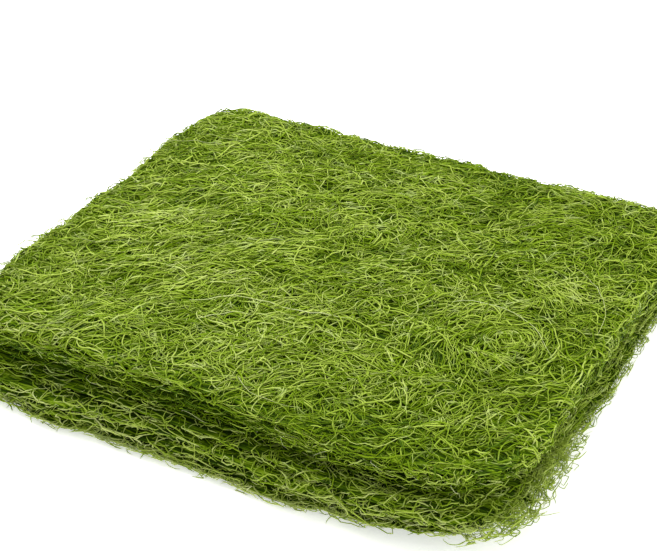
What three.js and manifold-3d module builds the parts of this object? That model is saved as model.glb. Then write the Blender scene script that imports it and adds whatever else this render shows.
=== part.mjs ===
// A squared stack of dried green seaweed sheets. Each sheet is a felted mat of fine strands,
// laid a little askew on the one below, with a ragged edge and loose strands at its rim.
// Units are millimetres. +Z is up, the long front side faces -Y, and the stack stands on z = 0.

import * as THREE from "three";
import { mergeVertices } from "three/addons/utils/BufferGeometryUtils.js";
import Module from "manifold-3d";

const wasm = await Module();
wasm.setup();

// Driving dimensions
const SHEET_WIDTH = 210;
const SHEET_DEPTH = 190;
const STACK_HEIGHT = 36;
const CORNER_RADIUS = 15;
const NEAR_CORNER_RADIUS = 27;
const SHEET_GAP = 0.5;
const TOP_SHEET_CLEARANCE = 0.3;

// The near corner (+X, -Y) lifts off the table and the stack is pressed thinner there
const NEAR_CORNER = new THREE.Vector2(SHEET_WIDTH / 2, -SHEET_DEPTH / 2);
const CORNER_LIFT = 7;
const LIFT_REACH = 75;
const CORNER_DROOP = 4.5;
const DROOP_REACH = 115;

// How each sheet lies, from the table up: its share of the height, its shift, its turn in degrees,
// and how much of the room that it has is filled at its edge
const SHEETS = [
  { share: 1.15, shift: [0.5, -1.0], turn: 0.9, fill: 0.62 },
  { share: 1.0, shift: [3.5, -1.5], turn: 1.6, fill: 0.6 },
  { share: 1.0, shift: [1.0, -2.5], turn: 0.4, fill: 0.7 },
  { share: 0.85, shift: [-0.9, -0.5], turn: -1.6, fill: 0.6 },
  { share: 0.8, shift: [-3.0, 4.5], turn: -0.5, fill: 0.5 },
  { share: 1.0, shift: [0.0, 3.0], turn: 0.2, fill: 0.6 },
  { share: 1.0, shift: [2.0, 2.0], turn: 1.2, fill: 0.65 },
  { share: 1.2, shift: [4.5, 0.5], turn: -0.8, fill: 0.75 },
];

// Mesh of a sheet: points round its outline, distances of its rings from the edge,
// and cells across the uppermost sheet
const OUTLINE_POINTS = 56;
const RING_INSETS = [30, 14, 3];
const TOP_CELLS = { across: 27, deep: 24 };

// Shape of a sheet's rim: it thins out over the rim's width, sways within the room that it has,
// and its edge is rounded and ragged
const RIM_WIDTH = 16;
const RIM_FULLNESS = 0.3;
const EDGE_ROUNDING = 1.0;
const EDGE_RAGGEDNESS = 2.4;
const EDGE_SMOOTHING_PASSES = 1;

// Tufts on the uppermost face: swirling ridges of matted strands
const TUFT_HEIGHT = 0.9;
const TUFT_SPACING = 27;
const TUFT_SWIRL = 34;
const TUFT_BEND = 2;
const TUFT_FADE = 10;
const TUFT_RIDGES = [
  { across: 0.35, deep: 1, bend: 1 },
  { across: 0.8, deep: -0.5, bend: -1 },
];

// Loose strands that are fused to a sheet
const STRAND_RADIUS = 0.5;
const STRAND_SIDES = 3;
const STRAND_STEPS = 6;
const STRAND_ROOT_DEPTH = 4;
const STRAND_REACH = { shortest: 2.5, longest: 6.5 };
const STRAND_SWEEP = { shortest: 5, longest: 13 };
const STRAND_CLEARANCE = 0.25;
const STRAND_LEAN = 0.6;
const RIM_STRANDS = 5;
const LOOP_EVERY = 3;

// Routes of a loose tail and of a loop at the rim: shares of the strand's reach and of its sweep
const TAIL_ROUTE = { roots: [0], points: [[0.1, 0.1], [0.7, 0.45], [1, 1]] };
const LOOP_ROUTE = { roots: [-0.5, 0.5], points: [[0.5, -0.35], [0.5, 0.35]] };

// Strands that lie along the uppermost face
const TOP_STRANDS = 16;
const TOP_STRAND_LENGTH = { shortest: 18, longest: 36 };
const TOP_STRAND_BEND = 0.9;
const TOP_STRAND_RISE = 0.3;
const TOP_STRAND_SINK = 0.9;
const TOP_STRAND_MARGIN = 24;

const SEAWEED_GREEN = 0x6f9a1e;
const SEAWEED_ROUGHNESS = 0.6;
const SEED = 20261;

// A repeatable source of random numbers from 0 to 1
function seededRandom(seed) {
  let state = seed;
  return () => {
    state = (state + 0x6d2b79f5) | 0;
    let mixed = Math.imul(state ^ (state >>> 15), 1 | state);
    mixed = (mixed + Math.imul(mixed ^ (mixed >>> 7), 61 | mixed)) ^ mixed;
    return ((mixed ^ (mixed >>> 14)) >>> 0) / 2 ** 32;
  };
}

const between = (random, { shortest, longest }) => shortest + (longest - shortest) * random();

// Random values from -1 to 1 round an outline, each averaged with its neighbours
function smoothedNoise(random, count, passes) {
  let values = Array.from({ length: count }, () => 2 * random() - 1);
  for (let pass = 0; pass < passes; pass++) {
    values = values.map((value, i) => {
      const before = values[(i + count - 1) % count];
      const after = values[(i + 1) % count];
      return (before + 2 * value + after) / 4;
    });
  }
  return values;
}

// A smooth bump that is 1 at no distance and 0 from the given reach on
function bump(distance, reach) {
  const share = Math.min(distance / reach, 1);
  return (1 - share * share) ** 2;
}

// Heights of the stack's underside and of its uppermost face over the table
const fromNearCorner = (x, y) => Math.hypot(x - NEAR_CORNER.x, y - NEAR_CORNER.y);
const undersideHeight = (x, y) => CORNER_LIFT * bump(fromNearCorner(x, y), LIFT_REACH);
const topHeight = (x, y) => STACK_HEIGHT - CORNER_DROOP * bump(fromNearCorner(x, y), DROOP_REACH);

// Share of the stack's height that lies under each sheet, and 1 at the end
const totalShare = SHEETS.reduce((sum, sheet) => sum + sheet.share, 0);
const heightShares = [0];
for (const { share } of SHEETS) heightShares.push(heightShares.at(-1) + share / totalShare);

// Height of the surface between sheet number level - 1 and sheet number level
function interfaceHeight(level, x, y) {
  const low = undersideHeight(x, y);
  return low + (topHeight(x, y) - low) * heightShares[level];
}

// Room that a sheet has at a place, without the gaps to its neighbours
function roomFor(level, x, y) {
  const isTop = level === SHEETS.length - 1;
  const bottomGap = level === 0 ? 0 : SHEET_GAP / 2 + (isTop ? TOP_SHEET_CLEARANCE : 0);
  const topGap = isTop ? 0 : SHEET_GAP / 2;
  return {
    low: interfaceHeight(level, x, y) + bottomGap,
    high: interfaceHeight(level + 1, x, y) - topGap,
  };
}

// A rounded rectangle inside the nominal sheet, as evenly spaced points from the same start
function insetOutline(inset, count) {
  const halfWidth = SHEET_WIDTH / 2 - inset;
  const halfDepth = SHEET_DEPTH / 2 - inset;
  const radius = CORNER_RADIUS * (1 - inset / SHEET_DEPTH);
  const nearRadius = NEAR_CORNER_RADIUS * (1 - inset / SHEET_DEPTH);
  const shape = new THREE.Shape();
  shape.moveTo(0, -halfDepth);
  shape.absarc(halfWidth - nearRadius, nearRadius - halfDepth, nearRadius, -Math.PI / 2, 0);
  shape.absarc(halfWidth - radius, halfDepth - radius, radius, 0, Math.PI / 2);
  shape.absarc(radius - halfWidth, halfDepth - radius, radius, Math.PI / 2, Math.PI);
  shape.absarc(radius - halfWidth, radius - halfDepth, radius, Math.PI, 1.5 * Math.PI);
  shape.closePath();
  return shape.getSpacedPoints(count).slice(0, count);
}

// Swirling ridges on the uppermost face, faded out towards its rim
function tuftHeight(x, y, inset) {
  const wave = (2 * Math.PI) / TUFT_SPACING;
  const swirl = TUFT_BEND * (Math.sin(y / TUFT_SWIRL) + Math.cos(x / TUFT_SWIRL));
  const ridges = TUFT_RIDGES.reduce((sum, { across, deep, bend }) => {
    return sum + Math.sin(wave * (across * x + deep * y) + bend * swirl);
  }, 0);
  return (TUFT_HEIGHT * ridges * Math.min(inset / TUFT_FADE, 1)) / TUFT_RIDGES.length;
}

// One sheet: where it lies and the numbers that make its rim uneven
class Sheet {
  constructor(level) {
    const { shift, turn, fill } = SHEETS[level];
    this.level = level;
    this.fill = fill;
    this.shift = new THREE.Vector2(...shift);
    this.random = seededRandom(SEED + level);
    this.sway = smoothedNoise(this.random, OUTLINE_POINTS, EDGE_SMOOTHING_PASSES);
    this.edge = this.raggedEdge(THREE.MathUtils.degToRad(turn));
  }

  // The nominal outline, turned and shifted to where this sheet lies, with an uneven reach
  raggedEdge(turn) {
    const middle = new THREE.Vector2();
    const raggedness = smoothedNoise(this.random, OUTLINE_POINTS, EDGE_SMOOTHING_PASSES);
    return insetOutline(0, OUTLINE_POINTS).map((point, i) => {
      const reach = 1 + (EDGE_RAGGEDNESS * raggedness[i]) / point.length();
      return point.rotateAround(middle, turn).multiplyScalar(reach).add(this.shift);
    });
  }

  // Value of a list round the outline at a place between two of its points
  atPosition(values, position) {
    const i = Math.floor(position) % OUTLINE_POINTS;
    return THREE.MathUtils.lerp(values[i], values[(i + 1) % OUTLINE_POINTS], position % 1);
  }

  // Point at a distance inside the edge
  insideEdge(i, inset) {
    const inward = this.shift.clone().sub(this.edge[i]).normalize();
    return this.edge[i].clone().addScaledVector(inward, inset);
  }

  // Point on the lower or upper face, where the sheet fills a share of the room that it has
  onFace(place, position, isUpper, inset) {
    const { low, high } = roomFor(this.level, place.x, place.y);
    const nearness = 1 - Math.min(inset / RIM_WIDTH, 1);
    const filled = 1 - (1 - this.fill) * nearness ** (1 / RIM_FULLNESS);
    const spare = (1 - filled) * (high - low);
    const base = low + spare * 0.5 * (1 + this.atPosition(this.sway, position) * nearness);
    return new THREE.Vector3(place.x, place.y, isUpper ? base + filled * (high - low) : base);
  }

  // Point on the rounded edge, half way between the two faces
  onEdge(place, position) {
    const upper = this.onFace(place, position, true, 0);
    const lower = this.onFace(place, position, false, 0);
    const outward = new THREE.Vector3(place.x - this.shift.x, place.y - this.shift.y, 0).normalize();
    return upper.add(lower).multiplyScalar(0.5).addScaledVector(outward, EDGE_ROUNDING);
  }

  // Ring of points on the lower or upper face; the outer one follows the ragged edge
  ring(inset, isUpper) {
    const isRim = inset === RING_INSETS.at(-1);
    return insetOutline(inset, OUTLINE_POINTS).map((point, i) => {
      return this.onFace(isRim ? this.insideEdge(i, inset) : point, i, isUpper, inset);
    });
  }

  // The closed mat without its loose strands: rings from the upper middle, over the edge, to the lower one
  matGeometry() {
    const rings = [
      ...RING_INSETS.map((inset) => this.ring(inset, true)),
      this.edge.map((place, i) => this.onFace(place, i, true, 0)),
      this.edge.map((place, i) => this.onEdge(place, i)),
      this.edge.map((place, i) => this.onFace(place, i, false, 0)),
      ...RING_INSETS.map((inset) => this.ring(inset, false)).reverse(),
    ];
    const centre = new THREE.Vector2();
    const inside = SHEET_DEPTH / 2;
    return closedRings(this.onFace(centre, 0, true, inside), rings, this.onFace(centre, 0, false, inside));
  }

  // Place on the sheet's edge between two outline points, with the way along it and the way out
  edgeFrame(position) {
    const i = Math.floor(position) % OUTLINE_POINTS;
    const next = this.edge[(i + 1) % OUTLINE_POINTS];
    const along = next.clone().sub(this.edge[i]).normalize();
    return {
      place: this.edge[i].clone().lerp(next, position % 1),
      along,
      outward: new THREE.Vector2(along.y, -along.x),
    };
  }

  // Height of a loose strand's point: at the sheet's own level, clear of its neighbours
  strandHeight(place, lean) {
    const { low, high } = roomFor(this.level, place.x, place.y);
    const slack = (high - low) / 2 - STRAND_RADIUS - STRAND_CLEARANCE;
    return (low + high) / 2 + lean * Math.max(slack, 0);
  }

  // A strand that leaves the rim, or a loop that comes back into it
  rimStrand(position, isLoop) {
    const { place, along, outward } = this.edgeFrame(position);
    const reach = between(this.random, STRAND_REACH);
    const sweep = between(this.random, STRAND_SWEEP) * (this.random() < 0.5 ? -1 : 1);
    const lean = this.atPosition(this.sway, position) * STRAND_LEAN;
    const at = (out, side, tilt) => {
      const point = place.clone().addScaledVector(outward, out).addScaledVector(along, side * sweep);
      return new THREE.Vector3(point.x, point.y, this.strandHeight(point, tilt));
    };
    const route = isLoop ? LOOP_ROUTE : TAIL_ROUTE;
    const [firstRoot, ...otherRoots] = route.roots.map((side) => at(-STRAND_ROOT_DEPTH, side, 0));
    const outside = route.points.map(([out, side]) => at(out * reach, side, lean));
    return strandGeometry([firstRoot, ...outside, ...otherRoots]);
  }

  // All loose strands of this sheet
  strands() {
    return Array.from({ length: RIM_STRANDS }, (_, n) => {
      const position = ((n + 0.2 + 0.6 * this.random()) / RIM_STRANDS) * OUTLINE_POINTS;
      return this.rimStrand(position, n % LOOP_EVERY === 0);
    });
  }

  // The whole sheet as one closed solid
  geometry() {
    let solid = solidOf(this.matGeometry());
    for (const strand of this.strands()) solid = solid.add(solidOf(strand));
    return geometryOf(outerSkin(solid));
  }
}

// The uppermost sheet, whose face shows: an even mesh with tufts, and strands along its face
class TopSheet extends Sheet {
  // Where a ray from the sheet's middle meets its edge
  edgeCrossing(direction) {
    for (let i = 0; i < OUTLINE_POINTS; i++) {
      const from = this.edge[i].clone().sub(this.shift);
      const step = this.edge[(i + 1) % OUTLINE_POINTS].clone().sub(this.edge[i]);
      const share = -direction.cross(from) / direction.cross(step);
      const meeting = from.clone().addScaledVector(step, share);
      const isAhead = meeting.dot(direction) > 0;
      if (isAhead && share >= 0 && share <= 1) return { meeting, position: i + share };
    }
    throw new Error("a ray from the middle of a sheet meets its edge");
  }

  // Moves a point of a box from -1 to 1 to its place on the sheet
  place(point) {
    const ring = Math.max(Math.abs(point.x), Math.abs(point.y));
    const direction = new THREE.Vector2(point.x * SHEET_WIDTH, point.y * SHEET_DEPTH);
    if (ring === 0) direction.x = 1;
    const { meeting, position } = this.edgeCrossing(direction.normalize());
    const place = meeting.clone().multiplyScalar(ring).add(this.shift);
    if (point.z === 0) return this.onEdge(place, position);
    const inset = (1 - ring) * meeting.length();
    const placed = this.onFace(place, position, point.z > 0, inset);
    if (point.z > 0) placed.z += tuftHeight(place.x, place.y, inset);
    return placed;
  }

  matGeometry() {
    const box = new THREE.BoxGeometry(2, 2, 2, TOP_CELLS.across, TOP_CELLS.deep, 2);
    const positions = box.getAttribute("position");
    const point = new THREE.Vector3();
    for (let i = 0; i < positions.count; i++) {
      const placed = this.place(point.fromBufferAttribute(positions, i));
      positions.setXYZ(i, placed.x, placed.y, placed.z);
    }
    return box;
  }

  // A strand that lies along the uppermost face, with both ends worked into the mat
  topStrand() {
    const middle = new THREE.Vector2(
      (this.random() - 0.5) * (SHEET_WIDTH - 2 * TOP_STRAND_MARGIN),
      (this.random() - 0.5) * (SHEET_DEPTH - 2 * TOP_STRAND_MARGIN),
    );
    const length = between(this.random, TOP_STRAND_LENGTH);
    const bend = (2 * this.random() - 1) * TOP_STRAND_BEND;
    const heading = this.random() * 2 * Math.PI;
    const points = Array.from({ length: STRAND_STEPS + 1 }, (_, step) => {
      const share = step / STRAND_STEPS - 0.5;
      const angle = heading + bend * share;
      const way = new THREE.Vector2(Math.cos(angle), Math.sin(angle));
      const place = way.multiplyScalar(length * share).add(middle);
      const surface = topHeight(place.x, place.y) + tuftHeight(place.x, place.y, TOP_STRAND_MARGIN);
      const isEnd = Math.abs(share) === 0.5;
      return new THREE.Vector3(place.x, place.y, surface + (isEnd ? -TOP_STRAND_SINK : TOP_STRAND_RISE));
    });
    return strandGeometry(points);
  }

  strands() {
    const laidOnTop = Array.from({ length: TOP_STRANDS }, () => this.topStrand());
    return [...super.strands(), ...laidOnTop];
  }
}

// A closed body through rings of equal length, from a middle point above to one below
function closedRings(upperMiddle, rings, lowerMiddle) {
  const count = rings[0].length;
  const vertices = [upperMiddle, ...rings.flat(), lowerMiddle];
  const at = (ring, i) => 1 + ring * count + (i % count);
  const last = vertices.length - 1;
  const triangles = [];
  for (let i = 0; i < count; i++) {
    triangles.push(0, at(0, i), at(0, i + 1));
    triangles.push(last, at(rings.length - 1, i + 1), at(rings.length - 1, i));
    for (let ring = 0; ring + 1 < rings.length; ring++) {
      triangles.push(at(ring, i), at(ring + 1, i), at(ring + 1, i + 1));
      triangles.push(at(ring, i), at(ring + 1, i + 1), at(ring, i + 1));
    }
  }
  const geometry = new THREE.BufferGeometry().setFromPoints(vertices);
  geometry.setIndex(triangles);
  return geometry;
}

// A thin strand with few sides along a smooth curve
function strandGeometry(points) {
  const section = new THREE.Shape(
    Array.from({ length: STRAND_SIDES }, (_, side) => {
      const angle = (2 * Math.PI * side) / STRAND_SIDES;
      return new THREE.Vector2(Math.cos(angle), Math.sin(angle)).multiplyScalar(STRAND_RADIUS);
    }),
  );
  const extrudePath = new THREE.CatmullRomCurve3(points);
  return new THREE.ExtrudeGeometry(section, { steps: STRAND_STEPS, extrudePath });
}

// A closed geometry as a solid that can be joined
function solidOf(geometry) {
  const bare = geometry.clone();
  bare.deleteAttribute("normal");
  bare.deleteAttribute("uv");
  const merged = mergeVertices(bare);
  const mesh = new wasm.Mesh({
    numProp: 3,
    vertProperties: merged.getAttribute("position").array,
    triVerts: new Uint32Array(merged.index.array),
  });
  return new wasm.Manifold(mesh);
}

// The solid without the pockets that crossing strands may have sealed in
function outerSkin(solid) {
  return solid.decompose().reduce((largest, body) => (body.volume() > largest.volume() ? body : largest));
}

// A joined solid as a geometry
function geometryOf(solid) {
  const mesh = solid.getMesh();
  const geometry = new THREE.BufferGeometry();
  geometry.setAttribute("position", new THREE.BufferAttribute(mesh.vertProperties, 3));
  geometry.setIndex(new THREE.BufferAttribute(mesh.triVerts, 1));
  geometry.computeVertexNormals();
  return geometry;
}

// The stack, centred over the origin on the table
function buildStack() {
  const stack = new THREE.Group();
  SHEETS.forEach((_, level) => {
    const isTop = level === SHEETS.length - 1;
    const sheet = isTop ? new TopSheet(level) : new Sheet(level);
    const material = new THREE.MeshStandardMaterial({
      color: SEAWEED_GREEN,
      roughness: SEAWEED_ROUGHNESS,
      metalness: 0,
    });
    const mesh = new THREE.Mesh(sheet.geometry(), material);
    mesh.name = `sheet_${level + 1}`;
    stack.add(mesh);
  });
  const box = new THREE.Box3().setFromObject(stack);
  const middle = box.getCenter(new THREE.Vector3());
  stack.position.set(-middle.x, -middle.y, -box.min.z);
  return stack;
}

const stack = buildStack();

export default stack;
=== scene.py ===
"""Looks of a stack of dried green seaweed sheets: felted mats under a tangle of fine strands."""

import logging
import math
from dataclasses import Field, dataclass, fields, replace
from enum import Enum
from types import MappingProxyType
from typing import Mapping, Union

import bmesh
import bpy
from mathutils import Matrix, Vector, noise
from mathutils.kdtree import KDTree


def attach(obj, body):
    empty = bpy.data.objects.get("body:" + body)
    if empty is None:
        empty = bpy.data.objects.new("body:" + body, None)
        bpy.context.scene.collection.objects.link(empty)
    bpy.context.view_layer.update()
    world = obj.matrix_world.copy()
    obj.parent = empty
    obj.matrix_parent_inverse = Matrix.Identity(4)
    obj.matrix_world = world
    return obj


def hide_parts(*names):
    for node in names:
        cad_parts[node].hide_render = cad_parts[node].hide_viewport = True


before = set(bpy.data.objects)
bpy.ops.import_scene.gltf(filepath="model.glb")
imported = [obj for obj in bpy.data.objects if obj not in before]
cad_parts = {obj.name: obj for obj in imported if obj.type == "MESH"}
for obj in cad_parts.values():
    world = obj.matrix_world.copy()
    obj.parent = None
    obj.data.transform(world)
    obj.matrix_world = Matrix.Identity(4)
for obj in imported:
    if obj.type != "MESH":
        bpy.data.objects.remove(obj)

Number = Union[int, float]
Colour = tuple[float, float, float, float]
Point = tuple[float, float, float]
Pair = tuple[float, float]

LOG = logging.getLogger("seaweed")
MM = 0.001
BODY = "root"
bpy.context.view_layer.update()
FOOT_SHEETS = (1,)
NETTED_SHEETS = (1, 2, 3)
LEDGE_SHEETS = (3, 4)
RECESSED_SHEETS = (5, 6, 7)
SEED_STEP = 100
NOISE_MEAN = 0.5
STRAND_MAP = "OFBake"
UP: Point = (0.0, 0.0, 1.0)
LEVEL: Point = (1.0, 1.0, 0.0)
IN_MILLIMETRES = (
    "length", "thickness", "layer", "reach", "wave", "droop", "spot", "spot_reach", "offset", "leash", "fold"
)


class Wire:
    """A node's output socket that takes part in Python expressions."""

    def __init__(self, graph: "Graph", socket: bpy.types.NodeSocket) -> None:
        """Keeps the socket and the graph that new nodes go to."""
        self.graph = graph
        self.socket = socket

    @property
    def is_vector(self) -> bool:
        """Whether the socket carries a vector."""
        return self.socket.type in ("VECTOR", "RGBA")

    def maths(self, operation: str, *others: object) -> "Wire":
        """The result of a Math or Vector Math operation on this wire and others."""
        return self.graph.maths(operation, self, *others)

    def __add__(self, other: object) -> "Wire":
        """Sum, from either side."""
        return self.maths("ADD", other)

    __radd__ = __add__

    def __sub__(self, other: object) -> "Wire":
        """Difference."""
        return self.maths("SUBTRACT", other)

    def __rsub__(self, other: object) -> "Wire":
        """Difference with the wire on the right."""
        return self.graph.maths("SUBTRACT", other, self)

    def __mul__(self, other: object) -> "Wire":
        """Product, or a vector scaled by a number, from either side."""
        return self.maths("MULTIPLY", other)

    __rmul__ = __mul__

    def __truediv__(self, other: object) -> "Wire":
        """Quotient."""
        return self.maths("DIVIDE", other)

    def __rtruediv__(self, other: object) -> "Wire":
        """Quotient with the wire on the right."""
        return self.graph.maths("DIVIDE", other, self)

    def __pow__(self, other: object) -> "Wire":
        """Power."""
        return self.maths("POWER", other)

    def __rpow__(self, other: object) -> "Wire":
        """Power with the wire on the right."""
        return self.graph.maths("POWER", other, self)

    def unit(self) -> "Wire":
        """The vector at length 1."""
        return self.maths("NORMALIZE")

    def dot(self, other: object) -> "Wire":
        """Dot product."""
        return self.maths("DOT_PRODUCT", other)

    def cross(self, other: object) -> "Wire":
        """Cross product."""
        return self.maths("CROSS_PRODUCT", other)

    def parts(self) -> tuple["Wire", "Wire", "Wire"]:
        """The vector's X, Y and Z."""
        split = self.graph.node("ShaderNodeSeparateXYZ", {0: self})
        return split["X"], split["Y"], split["Z"]

    def ranged(self, low: object, high: object, to_low: Number, to_high: Number) -> "Wire":
        """The value's range from low to high, mapped to another smoothly and held at its ends."""
        inputs = {"Value": self, "From Min": low, "From Max": high, "To Min": to_low, "To Max": to_high}
        return self.graph.node("ShaderNodeMapRange", inputs, interpolation_type="SMOOTHSTEP")["Result"]

    def noise(self, scale: Number, detail: Number = 1.0, seed: Number = 0.0) -> "Node":
        """A noise texture read at this place, its scale in features a metre and its detail in octaves."""
        inputs = {"Vector": self, "W": seed, "Scale": scale, "Detail": detail}
        return self.graph.node("ShaderNodeTexNoise", inputs, noise_dimensions="4D")

    def stretched(self, turn: float, stretch: float) -> "Wire":
        """This place scaled along X, then turned about Z, for a pattern that is drawn out one way."""
        inputs = {"Vector": self, "Rotation": (0.0, 0.0, turn), "Scale": (stretch, 1.0, 1.0)}
        return self.graph.node("ShaderNodeMapping", inputs)["Vector"]


def is_vectorial(item: object) -> bool:
    """Whether an operand is a vector, as a wire or as three numbers."""
    return item.is_vector if isinstance(item, Wire) else not isinstance(item, (int, float))


class Node:
    """A node whose outputs are read by name."""

    def __init__(self, graph: "Graph", made: bpy.types.Node) -> None:
        """Keeps the node."""
        self.graph = graph
        self.made = made

    def __getitem__(self, name: str) -> Wire:
        """The first output of that name that the node's settings leave in use."""
        socket = next(item for item in self.made.outputs if item.name == name and item.enabled)
        return Wire(self.graph, socket)


class Graph:
    """Adds nodes to one shader or geometry tree."""

    def __init__(self, tree: bpy.types.NodeTree) -> None:
        """Keeps the tree."""
        self.tree = tree

    def node(
        self,
        kind: str,
        inputs: Mapping[Union[int, str], object] = MappingProxyType({}),
        **settings: object,
    ) -> Node:
        """Adds a node.

        Args:
            kind: the node's type.
            inputs: values or wires by the socket's name or number.
            settings: its properties, set first; "stops" are a colour ramp's places and colours.

        Returns:
            The node.
        """
        made = self.tree.nodes.new(kind)
        for name, value in settings.items():
            if name == "stops":
                self.set_stops(made.color_ramp, value)
            else:
                setattr(made, name, value)
        for key, value in inputs.items():
            socket = self.input_of(made, key)
            if isinstance(value, Wire):
                self.feed(value, socket)
            else:
                socket.default_value = value
        return Node(self, made)

    def feed(self, wire: Wire, socket: bpy.types.NodeSocket) -> None:
        """Links a wire to an input."""
        self.tree.links.new(wire.socket, socket)

    @staticmethod
    def input_of(made: bpy.types.Node, key: Union[int, str]) -> bpy.types.NodeSocket:
        """The input with that number, or the first of that name that is in use."""
        if isinstance(key, int):
            return made.inputs[key]
        return next(item for item in made.inputs if item.name == key and item.enabled)

    @staticmethod
    def set_stops(ramp: bpy.types.ColorRamp, stops: Mapping[float, "Tone"]) -> None:
        """Gives a colour ramp its places and colours."""
        while len(ramp.elements) < len(stops):
            ramp.elements.new(1.0)
        for element, (place, tone) in zip(ramp.elements, stops.items()):
            element.position = place
            element.color = tone.value

    def maths(self, operation: str, *operands: object) -> Wire:
        """Adds a Math node, or a Vector Math node where an operand is a vector.

        Args:
            operation: the node's operation.
            operands: its inputs in order, wires or numbers.

        Returns:
            The result.
        """
        any_vector = any(isinstance(item, Wire) and item.is_vector for item in operands)
        kind = "ShaderNodeVectorMath" if any_vector else "ShaderNodeMath"
        inputs = dict(enumerate(operands))
        if any_vector and operation == "MULTIPLY" and not all(is_vectorial(item) for item in operands):
            vector, scale = sorted(operands, key=is_vectorial, reverse=True)
            operation, inputs = "SCALE", {"Vector": vector, "Scale": scale}
        gives_number = operation in ("DOT_PRODUCT", "LENGTH") or not any_vector
        return self.node(kind, inputs, operation=operation)["Value" if gives_number else "Vector"]

    def vector(self, x: object = 0.0, y: object = 0.0, z: object = 0.0) -> Wire:
        """A vector from its X, Y and Z."""
        return self.node("ShaderNodeCombineXYZ", {"X": x, "Y": y, "Z": z})["Vector"]

    def mixed(self, share: object, first: object, second: object) -> Wire:
        """A vector between two: the first where the share is 0, the second where it is 1."""
        inputs = {"Factor": share, "A": first, "B": second}
        return self.node("ShaderNodeMix", inputs, data_type="VECTOR", clamp_factor=True)["Result"]


def placed(name: str, data: bpy.types.ID) -> bpy.types.Object:
    """Adds an object to the scene, at the origin."""
    made = bpy.data.objects.new(name, data)
    bpy.context.scene.collection.objects.link(made)
    return made


def plain_mesh(source: bpy.types.Object) -> bpy.types.Mesh:
    """The object's mesh with its modifiers worked in."""
    graph = bpy.context.evaluated_depsgraph_get()
    return bpy.data.meshes.new_from_object(source.evaluated_get(graph), depsgraph=graph)


@dataclass(frozen=True)
class StrandKind:
    """Sizes of one kind of strand on a mat, in millimetres and radians; the density is for a square metre."""

    density: float
    length: Pair
    thickness: Pair
    curl: float
    wander: float
    spread: float
    layer: Pair
    tone: Pair
    points: int
    seed: int
    reach: float = 1000
    lowest_facing: float = 0.05
    highest_facing: float = 1.1
    wave: float = 0
    looseness: float = 0.0
    outward: float = 0.0
    droop: float = 0
    spot: Pair = (0, 0)
    spot_reach: float = 1000
    offset: float = 0
    leash: float = 1000
    own_heading: float = 0.0
    own_share: float = 0.0
    fold: float = 0
    gaps: float = 0.0
    afloat: float = 0.0

    def inputs(self) -> dict[str, Number]:
        """The sizes as inputs of the tree.

        Returns:
            The values by the input's name, with lengths in metres.
        """
        values = {}
        for size in fields(self):
            value = getattr(self, size.name)
            unit = MM if size.name in IN_MILLIMETRES else 1
            for name, part in zip(input_names(size), value if size.type == Pair else [value]):
                values[name] = part * unit
        return values


def input_names(size: Field) -> list[str]:
    """Names of a size's inputs: its own, or one for each number of a pair."""
    return [f"{size.name} {number}" for number in (1, 2)] if size.type == Pair else [size.name]


@dataclass(frozen=True)
class Flow:
    """How the strands lie on a face: mostly one way, combed in one place, round a swirl, with some chance."""

    heading: float = math.radians(40)
    chance: float = 2.2
    chance_scale: float = 17.0
    swirl_middle: Point = (77 * MM, -20 * MM, 0.0)
    swirl_radius: float = 48 * MM
    swirl_fade: float = 0.35
    swirl_strength: float = 3.2
    swirl_core: float = 5 * MM
    swirl_calm: float = 0.25
    comb_middle: Point = (-60 * MM, -15 * MM, 0.0)
    comb_radius: float = 62 * MM
    comb_fade: float = 0.4
    comb_strength: float = 0.7
    tangle_scale: float = 28.0
    tangle_seed: float = 5.0
    tangle_chance: Pair = (0.35, 0.65)
    tangle_span: Pair = (0.7, 3.0)
    gap_scale: float = 120.0
    gap_seed: float = 9.0
    gap_chance: Pair = (0.33, 0.6)
    gap_span: Pair = (-0.7, 0.3)

    def tangle(self, place: Wire) -> Wire:
        """How far strands stray from the way at a place: little where the sheet was combed, more elsewhere.

        Args:
            place: position on the face.

        Returns:
            A factor.
        """
        distance = (place * LEVEL - self.comb_middle).maths("LENGTH")
        combed = distance.ranged(self.comb_fade * self.comb_radius, self.comb_radius, self.comb_strength, 0.0)
        chance = place.noise(self.tangle_scale, seed=self.tangle_seed)["Fac"]
        calm = self.swirl(place)[2] * self.swirl_calm
        return chance.ranged(*self.tangle_chance, *self.tangle_span) * (1.0 - combed) * (1.0 - calm)

    def gap(self, place: Wire) -> Wire:
        """How much denser or sparser strands grow at a place than elsewhere: tufts with gaps between them."""
        chance = place.noise(self.gap_scale, seed=self.gap_seed)["Fac"]
        return chance.ranged(*self.gap_chance, *self.gap_span)

    def swirl(self, place: Wire) -> tuple[Wire, Wire, Wire]:
        """The swirl as a place sees it.

        Args:
            place: position on the face.

        Returns:
            The arm from the swirl's middle, its length, and how strongly the swirl acts there, up to 1.
        """
        arm = place * LEVEL - self.swirl_middle
        distance = arm.maths("LENGTH")
        nearness = distance.ranged(self.swirl_fade * self.swirl_radius, self.swirl_radius, 1.0, 0.0)
        return arm, distance, nearness

    def way(self, place: Wire) -> Wire:
        """The way along a face at a place.

        Args:
            place: position on the face.

        Returns:
            A vector of length 1.
        """
        arm, _, nearness = self.swirl(place)
        round_swirl = arm.unit().cross(UP) * (nearness * self.swirl_strength)
        chance = place.noise(self.chance_scale)["Color"] - (NOISE_MEAN,) * 3
        straight = (math.cos(self.heading), math.sin(self.heading), 0.0)
        return ((chance * self.chance + round_swirl + straight) * LEVEL).unit()

    def bend(self, place: Wire) -> Wire:
        """How fast a strand turns to the right to stay on its circle round the swirl, in radians a metre."""
        _, distance, nearness = self.swirl(place)
        return nearness / distance.maths("MAXIMUM", self.swirl_core)


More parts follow.
